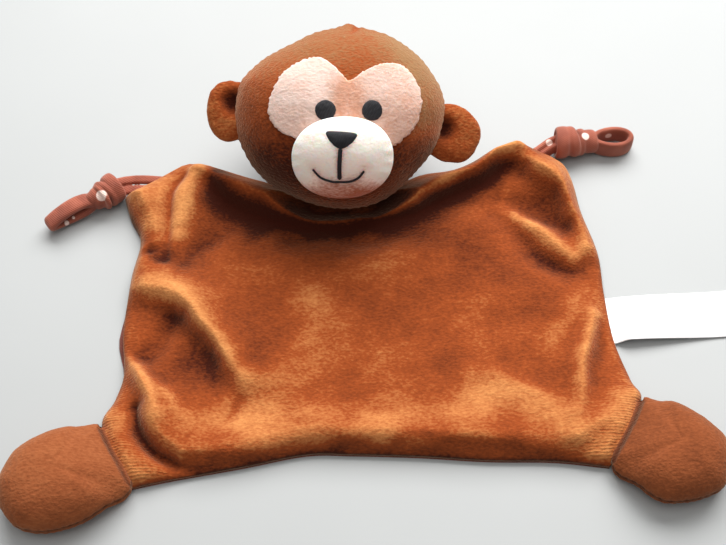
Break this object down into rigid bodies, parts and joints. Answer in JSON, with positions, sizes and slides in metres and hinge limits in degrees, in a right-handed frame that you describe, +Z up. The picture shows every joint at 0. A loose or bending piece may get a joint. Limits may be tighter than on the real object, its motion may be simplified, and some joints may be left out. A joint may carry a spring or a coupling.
{
  "type": "stuffed monkey comforter",
  "caption": "Flat plush comforter cloth with a stuffed monkey head, stuffed feet at its lower corners, knotted ties at its shoulders and a blank care label; a soft toy.",
  "frame": {"origin": "middle of the cloth underside, on the surface the toy lies on", "axes": "+Z up from the surface, +Y from the feet to the head, +X across the cloth to the right foot"},
  "size_m": [0.3461, 0.2379, 0.0819],
  "materials": {
    "rust_velour": "short pile velour, soft sheen",
    "foot_velour": "short pile velour with a brushed direction",
    "back_jersey": "plain cotton jersey",
    "tie_jersey": "cotton jersey with pale dots",
    "peach_plush": "short plush",
    "muzzle_plush": "short plush",
    "charcoal_thread": "satin stitch embroidery",
    "brown_thread": "hand stitching",
    "white_satin": "woven satin tape",
    "fibre_fill": "polyester fibre filling"
  },
  "bodies": {
    "body": {"body_front": "rust_velour", "body_back": "back_jersey"},
    "label": {"care_label": "white_satin"},
    "neck": {"neck_stitching": "brown_thread"},
    "head": {"head_front": "rust_velour", "head_back_left": "rust_velour", "head_back_right": "rust_velour", "head_stuffing": "fibre_fill", "face_mask": "peach_plush", "muzzle_cover": "muzzle_plush", "muzzle_stuffing": "fibre_fill", "eye_left": "charcoal_thread", "eye_right": "charcoal_thread", "nose": "charcoal_thread", "philtrum": "charcoal_thread", "smile": "charcoal_thread"},
    "ear_left": {"ear_left_front": "rust_velour", "ear_left_back": "rust_velour"},
    "ear_right": {"ear_right_front": "rust_velour", "ear_right_back": "rust_velour"},
    "foot_left": {"foot_left_top": "foot_velour", "foot_left_sole": "foot_velour", "foot_left_stuffing": "fibre_fill"},
    "foot_right": {"foot_right_top": "foot_velour", "foot_right_sole": "foot_velour", "foot_right_stuffing": "fibre_fill"},
    "tie_left": {"tie_left_stem": "tie_jersey", "tie_left_knot": "tie_jersey"},
    "loop_left": {"tie_left_loop": "tie_jersey"},
    "tie_right": {"tie_right_stem": "tie_jersey", "tie_right_knot": "tie_jersey"},
    "loop_right": {"tie_right_loop": "tie_jersey"}
  },
  "joints": [
    {"name": "head_swing", "type": "hinge", "parent": "body", "child": "neck", "pos_m": [-0.008, 0.0645, 0.0045], "axis": [0, 0, 1], "range_deg": [-10, 10]},
    {"name": "head_nod", "type": "hinge", "parent": "neck", "child": "head", "pos_m": [-0.008, 0.0645, 0.0045], "axis": [1, 0, 0], "range_deg": [0, 30]},
    {"name": "ear_left_flap", "type": "hinge", "parent": "head", "child": "ear_left", "pos_m": [-0.06, 0.09333, 0.04418], "axis": [0.1236, 0.782, 0.6109], "range_deg": [-20, 30], "stiffness_Nm_per_rad": 0.001},
    {"name": "ear_right_flap", "type": "hinge", "parent": "head", "child": "ear_right", "pos_m": [0.043, 0.08234, 0.03559], "axis": [-0.172, -0.7763, -0.6065], "range_deg": [-20, 30], "stiffness_Nm_per_rad": 0.001},
    {"name": "ankle_left_fold", "type": "hinge", "parent": "body", "child": "foot_left", "pos_m": [-0.11875, -0.0705, 0.004], "axis": [-0.4104, 0.9119, 0], "range_deg": [0, 70]},
    {"name": "ankle_right_fold", "type": "hinge", "parent": "body", "child": "foot_right", "pos_m": [0.11625, -0.0714, 0.004], "axis": [-0.494, -0.8695, 0], "range_deg": [0, 70]},
    {"name": "tie_left_lift", "type": "hinge", "parent": "body", "child": "tie_left", "pos_m": [-0.1178, 0.0765, 0.004], "axis": [-0.432, 0.9019, 0], "range_deg": [0, 50]},
    {"name": "tie_right_lift", "type": "hinge", "parent": "body", "child": "tie_right", "pos_m": [0.0985, 0.0918, 0.0045], "axis": [0, -1, 0], "range_deg": [0, 60]},
    {"name": "loop_left_flex", "type": "hinge", "parent": "tie_left", "child": "loop_left", "pos_m": [-0.1352, 0.0705, 0.0062], "axis": [-0.512, 0.859, 0], "range_deg": [0, 60]},
    {"name": "loop_right_flex", "type": "hinge", "parent": "tie_right", "child": "loop_right", "pos_m": [0.121, 0.0945, 0.008], "axis": [0, -1, 0], "range_deg": [0, 60]},
    {"name": "label_flap", "type": "hinge", "parent": "body", "child": "label", "pos_m": [0.1178, -0.009, 0], "axis": [0.0227, -0.9997, 0], "range_deg": [0, 90]}
  ]
}
